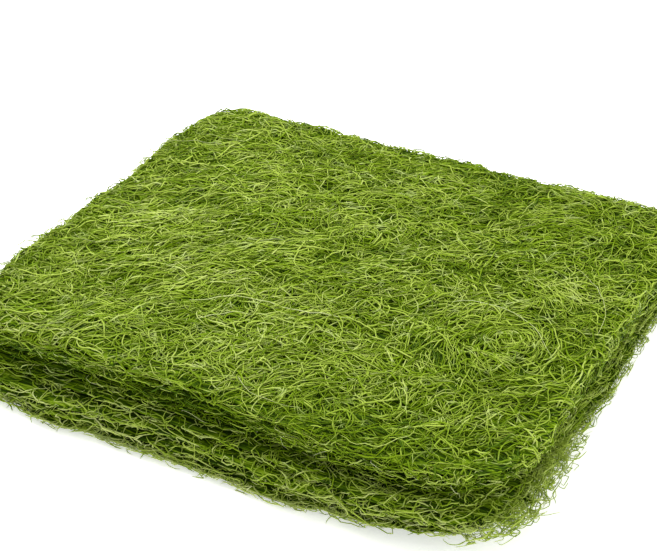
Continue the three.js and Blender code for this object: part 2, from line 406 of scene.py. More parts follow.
class StrandTree:
    """Geometry Nodes that lay curled strands over a mat and follow its surface."""

    ROOT = "strand_root"
    FACING = "strand_facing"
    WAY = "strand_way"
    TURN = "strand_turn"
    TANGLE = "strand_tangle"
    BEND = "strand_bend"
    NUMBER = "strand_number"
    AROUND = "strand_around"
    SCRATCH = (ROOT, FACING, WAY, TURN, TANGLE, BEND, NUMBER, AROUND)
    TONE = "tone"
    ALONG = "along"
    RIM_DISTANCE = "rim_distance"
    TYPES = {ROOT: "FLOAT_VECTOR", FACING: "FLOAT_VECTOR", WAY: "FLOAT_VECTOR", STRAND_MAP: "FLOAT2"}
    FACE_SLOPES: Pair = (0.4, 0.85)
    SPOT_CORE = 0.6
    TANGLED_CURL = 0.4
    ARCH_SCALE = 4.0
    TAPER_POWER = 0.35
    TIP_SHARE = 0.35
    WAVE_RATES: Pair = (350.0, 750.0)
    WAVE_STARTS: Pair = (0.0, 6.28)
    FOLD_SLACK = 1.2 * MM
    FOLD_SHARES: Pair = (0.2, 1.0)
    FOLD_SLANTS: Pair = (-1.4, 1.4)
    HANG_POWER = 2.0
    HANG_SHARES: Pair = (-0.35, 1.0)
    LEASH_SHARES: Pair = (0.25, 1.15)
    LOOSE_POWER = 1.5
    LOOSE_SHARES: Pair = (0.3, 1.0)
    TUBE_SIDES = 3
    CELL_ALONG: Pair = (0.1, 0.8)
    CELL_AROUND: Pair = (0.2, 0.9)

    def __init__(self, flow: Flow, material: bpy.types.Material) -> None:
        """Builds the tree.

        Args:
            flow: how strands lie on a face.
            material: what the strands are made of.
        """
        self.tree = bpy.data.node_groups.new("strands over a mat", "GeometryNodeTree")
        self.tree.is_modifier = True
        self.graph = Graph(self.tree)
        self.flow = flow
        self.material = material
        self.identifiers: dict[str, str] = {}
        self.size: dict[str, Wire | list[Wire]] = {}
        self.draws = 0
        self.declare()
        self.build()

    def declare(self) -> None:
        """Gives the tree its sockets: a mesh in, a mesh out, and one input for each size."""
        interface = self.tree.interface
        interface.new_socket("Mat", in_out="INPUT", socket_type="NodeSocketGeometry")
        interface.new_socket("Strands", in_out="OUTPUT", socket_type="NodeSocketGeometry")
        for size in fields(StrandKind):
            socket_type = "NodeSocketInt" if size.type is int else "NodeSocketFloat"
            for name in input_names(size):
                socket = interface.new_socket(name, in_out="INPUT", socket_type=socket_type)
                self.identifiers[name] = socket.identifier

    def attribute(self, name: str) -> Wire:
        """Reads a named attribute."""
        settings = {"data_type": self.TYPES.get(name, "FLOAT")}
        return self.graph.node("GeometryNodeInputNamedAttribute", {"Name": name}, **settings)["Attribute"]

    def stored(self, geometry: Wire, name: str, value: object, domain: str = "POINT") -> Wire:
        """Stores a named attribute.

        Args:
            geometry: what gets it.
            name: its name.
            value: its value.
            domain: where it is kept.

        Returns:
            The geometry with the attribute.
        """
        inputs = {"Geometry": geometry, "Name": name, "Value": value}
        settings = {"data_type": self.TYPES.get(name, "FLOAT"), "domain": domain}
        return self.graph.node("GeometryNodeStoreNamedAttribute", inputs, **settings)["Geometry"]

    def chance(self, low: object, high: object, of: Wire | None = None) -> Wire:
        """A random number for each element.

        Args:
            low: least value.
            high: greatest value.
            of: what tells the elements apart, their own number if left out.

        Returns:
            The number.
        """
        self.draws += 1
        inputs = {"Min": low, "Max": high, "Seed": self.size["seed"] + self.draws}
        if of is not None:
            inputs["ID"] = of
        return self.graph.node("FunctionNodeRandomValue", inputs, data_type="FLOAT")["Value"]

    def build(self) -> None:
        """Joins the steps from the mat to the finished strands."""
        graph = self.graph
        entry = graph.node("NodeGroupInput")
        self.mat = entry["Mat"]
        for size in fields(StrandKind):
            wires = [entry[name] for name in input_names(size)]
            self.size[size.name] = wires if size.type == Pair else wires[0]
        strands = self.swept(self.laid(self.grown(self.roots())))
        settled = graph.node("GeometryNodeRealizeInstances", {"Geometry": strands})["Geometry"]
        inputs = {"Geometry": settled, "Material": self.material}
        dressed = graph.node("GeometryNodeSetMaterial", inputs)["Geometry"]
        graph.node("NodeGroupOutput", {"Strands": dressed})

    def roots(self) -> Wire:
        """Points on the mat where strands start, each with its facing, way, turn and tone.

        Returns:
            The points.
        """
        graph, size = self.graph, self.size
        upward = graph.node("GeometryNodeInputNormal")["Normal"].parts()[2]
        near_rim = size["reach"].maths("GREATER_THAN", self.attribute(self.RIM_DISTANCE))
        faces_up = upward.maths("GREATER_THAN", size["lowest_facing"])
        faces_out = upward.maths("LESS_THAN", size["highest_facing"])
        place = graph.node("GeometryNodeInputPosition")["Position"]
        density = size["density"] * (self.flow.gap(place) * size["gaps"] + 1.0)
        density = density * near_rim * faces_up * faces_out * self.in_spot(place)
        spread = graph.node(
            "GeometryNodeDistributePointsOnFaces",
            {"Mesh": self.mat, "Density": density, "Seed": size["seed"]},
            distribute_method="RANDOM",
        )
        points = self.stored(spread["Points"], self.FACING, spread["Normal"])
        out = (self.attribute(self.FACING) * LEVEL).unit()
        points = self.stored(points, self.ROOT, place + out * self.chance(0.0, size["offset"]))
        points = self.stored(points, self.NUMBER, graph.node("GeometryNodeInputIndex")["Index"])
        points = self.stored(points, self.TONE, self.chance(*size["tone"]))
        sense = self.chance(-1.0, 1.0).maths("SIGN")
        points = self.stored(points, self.WAY, self.start_way(place, sense))
        points = self.stored(points, self.BEND, self.flow.bend(place) * sense * -1.0)
        points = self.stored(points, self.TANGLE, self.flow.tangle(place))
        turn = self.chance(-1.0, 1.0) * size["spread"] * self.attribute(self.TANGLE)
        return self.stored(points, self.TURN, turn)

    def in_spot(self, place: Wire) -> Wire:
        """1 in the middle of the spot that the strands keep to, and 0 outside it."""
        middle = self.graph.vector(*self.size["spot"])
        distance = (place * LEVEL - middle).maths("LENGTH")
        return distance.ranged(self.size["spot_reach"] * self.SPOT_CORE, self.size["spot_reach"], 1.0, 0.0)

    def start_way(self, place: Wire, sense: Wire) -> Wire:
        """The way a strand sets out: along the flow on a face, along the rim at a side, or outwards.

        Args:
            place: position of the strand's root.
            sense: 1 or -1, for one end first or the other.

        Returns:
            A vector of length 1.
        """
        graph = self.graph
        facing = self.attribute(self.FACING)
        on_face = facing.parts()[2].maths("ABSOLUTE").ranged(*self.FACE_SLOPES, 0.0, 1.0)
        along_rim = facing.cross(UP).unit() * sense
        way = graph.mixed(on_face, along_rim, self.flow.way(place) * sense)
        heading = self.size["own_heading"]
        own_way = graph.vector(heading.maths("COSINE"), heading.maths("SINE"))
        way = graph.mixed(self.size["own_share"], way, own_way)
        in_surface = (way - facing * way.dot(facing)).unit()
        out = (facing * LEVEL).unit()
        return graph.mixed(self.size["outward"], in_surface, out).unit()

    def grown(self, points: Wire) -> Wire:
        """A row of curve points for each root.

        Args:
            points: the roots.

        Returns:
            The curves, not yet in place.
        """
        graph = self.graph
        line = graph.node("GeometryNodeCurvePrimitiveLine")["Curve"]
        inputs = {"Curve": line, "Count": self.size["points"]}
        row = graph.node("GeometryNodeResampleCurve", inputs, mode="COUNT")["Curve"]
        rows = graph.node("GeometryNodeInstanceOnPoints", {"Points": points, "Instance": row})["Instances"]
        return graph.node("GeometryNodeRealizeInstances", {"Geometry": rows})["Geometry"]

    def summed(self, value: Wire, strand: Wire) -> Wire:
        """Sum of a value along each strand, from its root up to the point before.

        Args:
            value: what is summed.
            strand: number of the strand.

        Returns:
            The sum.
        """
        inputs = {"Value": value, "Group ID": strand}
        settings = {"data_type": "FLOAT_VECTOR" if value.is_vector else "FLOAT", "domain": "POINT"}
        return self.graph.node("GeometryNodeAccumulateField", inputs, **settings)["Trailing"]

    def laid(self, curves: Wire) -> Wire:
        """Bends each strand along its way and lays it on the mat.

        Args:
            curves: one row of points for each strand.

        Returns:
            The curves in place, with their radius and attributes.
        """
        graph, size = self.graph, self.size
        along = graph.node("GeometryNodeSplineParameter")["Factor"]
        strand = graph.node("GeometryNodeCurveOfPoint")["Curve Index"]
        length = self.chance(*size["length"], strand)
        step = length / (size["points"] - 1.0)
        sway = self.summed(self.chance(-1.0, 1.0) * size["wander"], strand)
        tangle = self.attribute(self.TANGLE) * self.TANGLED_CURL + (1.0 - self.TANGLED_CURL)
        curl = self.chance(-1.0, 1.0, strand) * size["curl"] * tangle
        bend = self.attribute(self.BEND) * length
        angle = self.attribute(self.TURN) + (curl + bend) * along + sway
        stride = graph.vector(angle.maths("COSINE") * step, angle.maths("SINE") * step)
        forward, sideways, _ = self.summed(stride, strand).parts()
        up = graph.mixed(size["outward"], self.attribute(self.FACING), UP).unit()
        way = self.attribute(self.WAY)
        free = self.attribute(self.ROOT) + way * forward + up.cross(way) * sideways
        place = self.settled(free, up, along, length, strand)
        moved = graph.node("GeometryNodeSetPosition", {"Geometry": curves, "Position": place})["Geometry"]
        thickness = self.chance(*size["thickness"], strand)
        taper = (along * (1.0 - along) * self.ARCH_SCALE) ** self.TAPER_POWER
        radius = thickness * (taper * (1.0 - self.TIP_SHARE) + self.TIP_SHARE)
        moved = graph.node("GeometryNodeSetCurveRadius", {"Curve": moved, "Radius": radius})["Curve"]
        return self.stored(moved, self.ALONG, along)

    def settled(self, free: Wire, up: Wire, along: Wire, length: Wire, strand: Wire) -> Wire:
        """Where a strand's point comes to lie: on the mat at the strand's layer, or hanging free.

        Args:
            free: the point if it just followed the strand's way.
            up: the way out of the mat at the strand's root.
            along: share of the strand's length.
            length: the strand's length.
            strand: number of the strand.

        Returns:
            The point's position, never under the table.
        """
        graph, size = self.graph, self.size
        inputs = {"Geometry": self.mat, "Sample Position": free}
        proximity = graph.node("GeometryNodeProximity", inputs, target_element="FACES")
        nearest, distance = proximity["Position"], proximity["Distance"]
        normal = graph.node("GeometryNodeInputNormal")["Normal"]
        inputs = {"Mesh": self.mat, "Value": normal, "Sample Position": free}
        facing = graph.node("GeometryNodeSampleNearestSurface", inputs, data_type="FLOAT_VECTOR")["Value"]
        layer = self.chance(*size["layer"], strand)
        phase = along * length * self.chance(*self.WAVE_RATES, strand)
        phase = phase + self.chance(*self.WAVE_STARTS, strand)
        height = layer + phase.maths("SINE") * size["wave"]
        past_rim = (distance - self.FOLD_SLACK).maths("MAXIMUM", 0.0)
        folded = past_rim.maths("MINIMUM", size["fold"] * self.chance(*self.FOLD_SHARES, strand))
        lying = nearest + facing * height - graph.vector(z=folded)
        hang = (along ** self.HANG_POWER) * size["droop"] * self.chance(*self.HANG_SHARES, strand)
        leash = size["leash"] * self.chance(*self.LEASH_SHARES, strand)
        kept = leash / distance.maths("MAXIMUM", leash)
        near = nearest + (free - nearest) * kept
        hanging = near + up * layer - graph.vector(z=hang)
        looseness = (along ** self.LOOSE_POWER) * size["looseness"] * self.chance(*self.LOOSE_SHARES, strand)
        slant = facing.cross(UP) * (folded * self.chance(*self.FOLD_SLANTS, strand))
        x, y, z = graph.mixed(looseness + size["afloat"], lying + slant, hanging).parts()
        return graph.vector(x, y, z.maths("MAXIMUM", size["thickness"][1]))

    def swept(self, curves: Wire) -> Wire:
        """Closed tubes with few sides along the strands, each with a patch of its own on the map.

        Args:
            curves: the strands' middles.

        Returns:
            The tubes.
        """
        graph = self.graph
        inputs = {"Resolution": self.TUBE_SIDES, "Radius": 1.0}
        section = graph.node("GeometryNodeCurvePrimitiveCircle", inputs, mode="RADIUS")["Curve"]
        section = self.stored(section, self.AROUND, graph.node("GeometryNodeSplineParameter")["Factor"])
        radius = graph.node("GeometryNodeInputRadius")["Radius"]
        inputs = {"Curve": curves, "Profile Curve": section, "Scale": radius, "Fill Caps": True}
        tubes = graph.node("GeometryNodeCurveToMesh", inputs)["Mesh"]
        tubes = graph.node("GeometryNodeSetShadeSmooth", {"Geometry": tubes})["Geometry"]
        tubes = self.stored(tubes, STRAND_MAP, self.patch(curves), "CORNER")
        for name in self.SCRATCH:
            inputs = {"Geometry": tubes, "Name": name}
            tubes = graph.node("GeometryNodeRemoveAttribute", inputs)["Geometry"]
        return tubes

    def patch(self, curves: Wire) -> Wire:
        """Place on the map: the square is split into at least as many cells as there are strands.

        Args:
            curves: the strands' middles.

        Returns:
            The place as a vector.
        """
        inputs = {"Geometry": curves}
        sizes = self.graph.node("GeometryNodeAttributeDomainSize", inputs, component="CURVE")
        cells = sizes["Spline Count"].maths("SQRT").maths("CEIL")
        number = self.attribute(self.NUMBER)
        column = number.maths("FLOORED_MODULO", cells)
        row = (number / cells).maths("FLOOR")
        start, share = self.CELL_ALONG
        across_cell = (column + start + self.attribute(self.ALONG) * share) / cells
        start, share = self.CELL_AROUND
        up_cell = (row + start + self.attribute(self.AROUND) * share) / cells
        return self.graph.vector(across_cell, up_cell)

    def run(self, name: str, mat: bpy.types.Object, kind: StrandKind) -> bpy.types.Object:
        """Grows one kind of strand on a mat.

        Args:
            name: the new piece's name.
            mat: the mat that carries the strands.
            kind: their sizes.

        Returns:
            The strands as a plain mesh.
        """
        bed = placed(name + "_bed", mat.data)
        modifier = bed.modifiers.new("strands", "NODES")
        modifier.node_group = self.tree
        for key, value in kind.inputs().items():
            modifier[self.identifiers[key]] = value
        mesh = plain_mesh(bed)
        mesh.name = name
        bpy.data.objects.remove(bed)
        return placed(name, mesh)


class Tone(Enum):
    """Greens of the dried seaweed, from deep in the mat to bleached strands, as linear colours; the bleached
    green is partly real bleaching and partly painted glints.
    """

    SHADE = (0.014, 0.032, 0.001, 1.0)
    DEEP = (0.045, 0.094, 0.001, 1.0)
    MIDDLE = (0.160, 0.256, 0.004, 1.0)
    BRIGHT = (0.338, 0.443, 0.060, 1.0)
    YELLOW = (0.463, 0.530, 0.170, 1.0)
    PALE = (0.600, 0.650, 0.370, 1.0)
    BLEACHED = (0.430, 0.510, 0.200, 1.0)


class Paint:
    """A new material with a graph of its own, for a finish to fill in."""

    def __init__(self, name: str, roughness: float, specular: float) -> None:
        """Makes the material.

        Args:
            name: its name.
            roughness: how dull it is.
            specular: how much it mirrors.
        """
        self.material = bpy.data.materials.new(name)
        self.material.use_nodes = True
        self.graph = Graph(self.material.node_tree)
        self.inputs = self.material.node_tree.nodes["Principled BSDF"].inputs
        self.inputs["Roughness"].default_value = roughness
        self.inputs["Specular IOR Level"].default_value = specular

    def place(self) -> Wire:
        """Position on the object."""
        return self.graph.node("ShaderNodeTexCoord")["Object"]


@dataclass(frozen=True)
class FrontLightAndShade:
    """Painted light and shade on the strands at the front: painted light at the foot, painted shade in the
    recess and on the near corner's lip.
    """

    side_start: float = -84 * MM
    side_fade: float = 8 * MM
    foot_ends: Pair = (-113 * MM, -53 * MM)
    foot_heights: Pair = (5 * MM, 17 * MM)
    foot_fade: float = 6 * MM
    foot_lift: float = 0.08
    recess_ends: Pair = (-70 * MM, -35 * MM)
    recess_fade: float = 2 * MM
    recess_depth: float = 0.28
    lip_heights: Pair = (27 * MM, 30 * MM)
    lip_ends: Pair = (10 * MM, 75 * MM)
    lip_sides: Pair = (-96 * MM, -60 * MM)
    lip_depth: float = 0.17

    def change(self, place: Wire) -> Wire:
        """How much painted light brightens strands at the foot, and how much painted shade darkens them in
        the recess and on the lip.

        Args:
            place: position on a strand.

        Returns:
            What is added to the tone, 0 away from the front side.
        """
        x, y, z = place.parts()
        # painted light near the foot, painted shade in the recess at the left and on the lip
        over_foot = z - x.ranged(*self.foot_ends, *self.foot_heights)
        foot_light = over_foot.ranged(-self.foot_fade, 0.0, self.foot_lift, 0.0)
        left_shade_share = x.ranged(*self.recess_ends, self.recess_depth, 0.0)
        below_lip = z.ranged(*self.lip_heights, 1.0, 0.0)
        recess_shade = over_foot.ranged(-self.recess_fade, self.recess_fade, 0.0, 1.0) * left_shade_share * below_lip
        at_side = y.ranged(self.side_start - self.side_fade, self.side_start, 1.0, 0.0)
        lip_shade = x.ranged(*self.lip_ends, 0.0, self.lip_depth) * (1.0 - below_lip)
        return (foot_light - recess_shade) * at_side - lip_shade * y.ranged(*self.lip_sides, 1.0, 0.0)


@dataclass(frozen=True)
class StrandFinish:
    """Dry, slightly glossy strands whose green changes from one to the next and along each, with painted
    light and shade across the stack and at its front.
    """

    roughness: float = 0.45
    specular: float = 0.06
    mottle_scale: float = 140.0
    mottle_detail: float = 2.0
    mottle: float = 0.22
    patch_scale: float = 75.0
    patch_seed: float = 3.0
    patch_stretch: float = 0.22
    patch_turn: float = math.radians(-38)
    patch: float = 0.58
    # painted light: the strands' tone grows lighter towards the left and the front of the stack
    slope: Point = (-0.35, -0.6, 0.0)
    # painted light at the foot and painted shade in the recess and on the lip
    front: FrontLightAndShade = FrontLightAndShade()
    tone_scale: float = 0.72
    # pale patches on lighter strands: partly real bleaching, partly painted glints
    bleach_scale: float = 210.0
    bleach_seed: float = 7.0
    bleach_chance: Pair = (0.52, 0.72)
    bleach_tones: Pair = (0.3, 0.8)
    bleach: float = 0.6

    def material(self) -> bpy.types.Material:
        """The strands' material.

        Returns:
            A material that reads each strand's tone.
        """
        paint = Paint("seaweed strands", self.roughness, self.specular)
        graph, place = paint.graph, paint.place()
        tone = graph.node("ShaderNodeAttribute", attribute_name=StrandTree.TONE)["Fac"]
        mottle = place.noise(self.mottle_scale, self.mottle_detail)["Fac"] - NOISE_MEAN
        turned = place.stretched(self.patch_turn, self.patch_stretch)
        patch = turned.noise(self.patch_scale, seed=self.patch_seed)["Fac"] - NOISE_MEAN
        # the strands' own tone with mottle and patches, plus a painted light slope across the stack
        shade = tone + mottle * self.mottle + patch * self.patch + place.dot(self.slope)
        # painted light and shade at the front side
        shade = shade + self.front.change(place)
        stops = {0.0: Tone.DEEP, 0.27: Tone.MIDDLE, 0.55: Tone.BRIGHT, 0.80: Tone.YELLOW, 1.0: Tone.PALE}
        green = graph.node("ShaderNodeValToRGB", {"Fac": shade * self.tone_scale}, stops=stops)["Color"]
        # mix in the pale green: partly real bleaching, partly painted glints
        chance = place.noise(self.bleach_scale, seed=self.bleach_seed)["Fac"]
        glint_and_bleach_share = chance.ranged(*self.bleach_chance, 0.0, self.bleach)
        glint_and_bleach_share = glint_and_bleach_share * tone.ranged(*self.bleach_tones, 0.0, 1.0)
        inputs = {"Factor": glint_and_bleach_share, "A": green, "B": Tone.BLEACHED.value}
        colour = graph.node("ShaderNodeMix", inputs, data_type="RGBA")["Result"]
        graph.feed(colour, paint.inputs["Base Color"])
        return paint.material


@dataclass(frozen=True)
class MatFinish:
    """The felt under the strands, with several patterns of fine fibres over each other; its dark greens are
    partly painted shade, which shows in the gaps between strands.
    """

    roughness: float = 0.9
    specular: float = 0.05
    fibre_scale: float = 1100.0
    stretch: float = 0.08
    bump: float = 0.6
    bump_depth: float = 0.4 * MM
    turns: tuple[float, ...] = (0.4, 1.5, 2.6)

    def material(self) -> bpy.types.Material:
        """The felt's material.

        Returns:
            A material with fibres in its colour and its bump.
        """
        paint = Paint("seaweed felt", self.roughness, self.specular)
        graph, place = paint.graph, paint.place()
        fibres = None
        for turn in self.turns:
            layer = place.stretched(turn, self.stretch).noise(self.fibre_scale, seed=turn)["Fac"]
            fibres = layer if fibres is None else fibres.maths("MAXIMUM", layer)
        # dark greens for the gaps between strands, partly painted shade
        stops = {0.5: Tone.SHADE, 0.6: Tone.DEEP, 0.68: Tone.MIDDLE, 0.8: Tone.BRIGHT}
        colour = graph.node("ShaderNodeValToRGB", {"Fac": fibres}, stops=stops)["Color"]
        graph.feed(colour, paint.inputs["Base Color"])
        inputs = {"Strength": self.bump, "Distance": self.bump_depth, "Height": fibres}
        graph.feed(graph.node("ShaderNodeBump", inputs)["Normal"], paint.inputs["Normal"])
        return paint.material


@dataclass(frozen=True)
class Pull:
    """A place where a mat's rim is drawn out of its plain outline or into it, in millimetres."""

    spot: Pair
    reach: float
    way: Pair
    width: float = 25

    def shift(self, place: Vector, rim_distance: float) -> Vector:
        """How far a point of the mat moves.

        Args:
            place: the point, in metres.
            rim_distance: its distance from the rim, in metres.

        Returns:
            The shift, in metres.
        """
        away = math.hypot(place.x - self.spot[0] * MM, place.y - self.spot[1] * MM) / (self.reach * MM)
        near_spot = max(0.0, 1.0 - away * away)
        way = Vector((self.way[0] * MM, self.way[1] * MM, 0.0))
        return way * near_spot * max(0.0, 1.0 - rim_distance / (self.width * MM))


@dataclass
class FeltMat:
    """The felted body of a sheet: the solid's form, a little smaller, with a fine mesh at its rim."""

    node: str
    material: bpy.types.Material
    voxel: float = 1.8 * MM
    weld_reach: float = 0.001 * MM
    shrink: float = 0.5 * MM
    rim_shrink: float = 0.1 * MM
    rim_width: float = 12 * MM
    rim_facing: float = 0.75
    flat_facing: float = 0.97
    flat_angle: float = math.radians(4)
    relief: float = 0.0
    ridge_length: float = 16 * MM
    ridge_width: float = 5 * MM
    ridge_heading: float = math.radians(40)
    keeps_face: bool = False
    pulls: tuple[Pull, ...] = ()

    def build(self) -> bpy.types.Object:
        """Makes the mat and its distances from the rim.

        Returns:
            The mat.
        """
        copy = placed(self.node + "_copy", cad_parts[self.node].data.copy())
        self.weld(copy.data)
        remesh = copy.modifiers.new("fine", "REMESH")
        remesh.mode = "VOXEL"
        remesh.voxel_size = self.voxel
        mesh = plain_mesh(copy)
        bpy.data.objects.remove(copy)
        self.trim(mesh)
        mesh.materials.clear()
        mesh.materials.append(self.material)
        mesh.name = self.node + "_felt"
        return placed(mesh.name, mesh)

    def weld(self, mesh: bpy.types.Mesh) -> None:
        """Merges the copy's loose triangles into one skin."""
        work = bmesh.new()
        work.from_mesh(mesh)
        bmesh.ops.remove_doubles(work, verts=work.verts, dist=self.weld_reach)
        work.to_mesh(mesh)
        work.free()

    def trim(self, mesh: bpy.types.Mesh) -> None:
        """Keeps the largest body, draws its skin in and merges what is flat and covered."""
        work = bmesh.new()
        work.from_mesh(mesh)
        self.drop_scraps(work)
        work.normal_update()
        distance = self.note_rim(work)
        for vertex in work.verts:
            drawn_in = self.rim_shrink + (self.shrink - self.rim_shrink) * abs(vertex.normal.z)
            vertex.co += vertex.normal * (self.ridge(vertex.co) - drawn_in)
            for pull in self.pulls:
                vertex.co += pull.shift(vertex.co, vertex[distance])
        flat = [edge for edge in work.edges if self.is_hidden(edge, distance)]
        verts = {vertex for edge in flat for vertex in edge.verts}
        bmesh.ops.dissolve_limit(work, angle_limit=self.flat_angle, verts=list(verts), edges=flat)
        bmesh.ops.triangulate(work, faces=[face for face in work.faces if len(face.verts) > 4])
        for face in work.faces:
            face.smooth = True
        work.to_mesh(mesh)
        work.free()

    def ridge(self, place: Vector) -> float:
        """Height of the felt's ridges, which run along the strands' main way, at a place."""
        turned = Matrix.Rotation(-self.ridge_heading, 3, "Z") @ place
        turned.x *= self.ridge_width / self.ridge_length
        return self.relief * noise.noise(turned / self.ridge_width)

    def is_hidden(self, edge: bmesh.types.BMEdge, distance: bmesh.types.BMLayerItem) -> bool:
        """Whether an edge lies on a face that the stack covers, away from the rim.

        Args:
            edge: the edge.
            distance: layer with each vertex's distance from the rim.

        Returns:
            True for an edge that may be merged away.
        """
        if min(vertex[distance] for vertex in edge.verts) < self.rim_width:
            return False
        upward = min(vertex.normal.z for vertex in edge.verts)
        downward = max(vertex.normal.z for vertex in edge.verts)
        return downward < -self.flat_facing or (upward > self.flat_facing and not self.keeps_face)

    @staticmethod
    def drop_scraps(work: bmesh.types.BMesh) -> None:
        """Deletes all but the largest connected body."""
        unseen = set(work.verts)
        bodies = []
        while unseen:
            body, queue = set(), [unseen.pop()]
            while queue:
                vertex = queue.pop()
                body.add(vertex)
                for edge in vertex.link_edges:
                    other = edge.other_vert(vertex)
                    if other in unseen:
                        unseen.discard(other)
                        queue.append(other)
            bodies.append(body)
        bodies.sort(key=len)
        scraps = [vertex for body in bodies[:-1] for vertex in body]
        bmesh.ops.delete(work, geom=scraps, context="VERTS")

    def note_rim(self, work: bmesh.types.BMesh) -> bmesh.types.BMLayerItem:
        """Notes each vertex's distance from the mat's rim, seen from above.

        Args:
            work: the mat.

        Returns:
            The layer that holds the distances.
        """
        rim = [vertex.co for vertex in work.verts if abs(vertex.normal.z) < self.rim_facing]
        tree = KDTree(len(rim))
        for number, place in enumerate(rim):
            tree.insert((place.x, place.y, 0.0), number)
        tree.balance()
        layer = work.verts.layers.float.new(StrandTree.RIM_DISTANCE)
        for vertex in work.verts:
            vertex[layer] = tree.find((vertex.co.x, vertex.co.y, 0.0))[2]
        return layer


@dataclass
class LowMat(FeltMat):
    """The felt of a sheet near the table, which runs out into a net of strands at the near corner."""

    pulls: tuple[Pull, ...] = (
        Pull((116, -44), 48, (-5.0, 0.6)),
        Pull((-60, -101), 14, (0.0, -2.4)),
        Pull((34, -99), 18, (0.0, -1.6)),
        Pull((63, -95), 15, (0.0, -2.2)),
        Pull((112, 35), 60, (-2.4, 0.0)),
    )


@dataclass
class TopMat(FeltMat):
    """The uppermost sheet's felt, whose face shows and has higher ridges."""

    voxel: float = 1.6 * MM
    shrink: float = 1.4 * MM
    relief: float = 0.9 * MM
    keeps_face: bool = True
    pulls: tuple[Pull, ...] = (
        Pull((-110, 70), 190, (-4.6, 0.0)),
        Pull((-104, 88), 45, (-3.0, 0.8)),
        Pull((-65, 97), 75, (0.0, -2.2)),
        Pull((-82, 96), 22, (0.0, -2.4)),
        Pull((33, 96), 22, (0.0, -2.2)),
        Pull((-110, 47), 28, (-2.8, 0.0)),
        Pull((-107, -47), 20, (-2.4, 0.0)),
        Pull((82, -97), 75, (-1.0, 3.6)),
    )


TOP_STRANDS = StrandKind(
    density=70000.0, length=(13, 38), thickness=(0.17, 0.35), curl=1.5, wander=0.28, spread=0.5,
    layer=(0.5, 1.6), wave=0.5, fold=3.0, gaps=1.0, tone=(0.15, 0.9), points=12, seed=11,
)
TOP_FINE_STRANDS = StrandKind(
    density=76000.0, length=(8, 21), thickness=(0.12, 0.22), curl=2.0, wander=0.38, spread=1.0,
    layer=(0.9, 1.9), wave=0.4, fold=2.4, gaps=1.0, tone=(0.25, 0.9), points=7, seed=14,
)
TOP_MIDDLE_STRANDS = StrandKind(
    density=90000.0, length=(9, 27), thickness=(0.18, 0.38), curl=2.4, wander=0.36, spread=0.9,
    layer=(0.3, 1.5), wave=0.4, fold=2.7, gaps=1.0, tone=(0.05, 0.9), points=9, seed=12,
)
TOP_UNDER_STRANDS = StrandKind(
    density=50000.0, length=(9, 22), thickness=(0.22, 0.40), curl=2.0, wander=0.5, spread=1.2,
    layer=(0, 0.7), wave=0.2, fold=2.0, gaps=0.5, tone=(-0.05, 0.5), points=6, seed=13,
)
RIM_STRANDS = StrandKind(
    density=130000.0, reach=6.5, lowest_facing=-0.8, length=(8, 19), thickness=(0.16, 0.31), curl=3.4,
    wander=0.55, spread=0.6, layer=(0.1, 1.5), wave=0.5, looseness=0.35, droop=2.5, tone=(0.2, 0.98),
    points=8, seed=21,
)
TOP_RIM_STRANDS = replace(RIM_STRANDS, highest_facing=0.6, spread=1.0, looseness=0.2, seed=23)
# darker tones on the set-back sheets: painted shade in the recess
RECESSED_STRANDS = replace(RIM_STRANDS, density=150000.0, tone=(-0.1, 0.65), looseness=0.2, seed=22)
RECESS_PALE = replace(RIM_STRANDS, density=9000.0, thickness=(0.1, 0.17), tone=(1.0, 1.4), seed=73)
LEDGE_STRANDS = replace(
    RIM_STRANDS, density=90000.0, reach=20, lowest_facing=0.3, tone=(0.2, 0.85), looseness=0.0,
    spot=(65, -88), spot_reach=70, seed=24,
)
# lighter tones: painted light for thin edge strands that glow with light passing through
FRINGE = StrandKind(
    density=150000.0, reach=1.2, lowest_facing=-0.7, length=(5, 11), thickness=(0.11, 0.2), curl=5.0,
    wander=0.7, spread=1.8, layer=(-0.4, 0.4), looseness=1.6, outward=1.0, droop=2, offset=1.0, leash=2.0,
    tone=(0.4, 1.0), points=8, seed=41,
)
# lighter tones: painted light on the net, which lies in the stack's shadow and glows with light passing
# through
CORNER_NET = StrandKind(
    density=1000000.0, reach=1.5, lowest_facing=-0.9, length=(9, 19), thickness=(0.13, 0.22), curl=11.0,
    wander=0.35, spread=2.0, layer=(-0.8, 0.8), outward=1.0, droop=1, spot=(121, -59), spot_reach=47,
    offset=8.5, leash=9, afloat=1.0, tone=(0.5, 0.95), points=13, seed=51,
)
SIDE_NET = replace(
    CORNER_NET, density=330000.0, points=10, spot=(121, 18), spot_reach=75, offset=3.0, leash=3.5, seed=52
)
LEFT_RIM = StrandKind(
    density=260000.0, reach=2, lowest_facing=-0.6, length=(8, 18), thickness=(0.16, 0.28), curl=4.5,
    wander=0.5, spread=2.0, layer=(-0.4, 0.6), looseness=3.0, outward=1.0, droop=0.5, spot=(-112, 40),
    spot_reach=150, offset=2, leash=3.8, tone=(0.3, 0.95), points=9, seed=56,
)
STRAY_CURLS = replace(LEFT_RIM, spot=(-109, -48), spot_reach=22, offset=4, leash=6, seed=58)
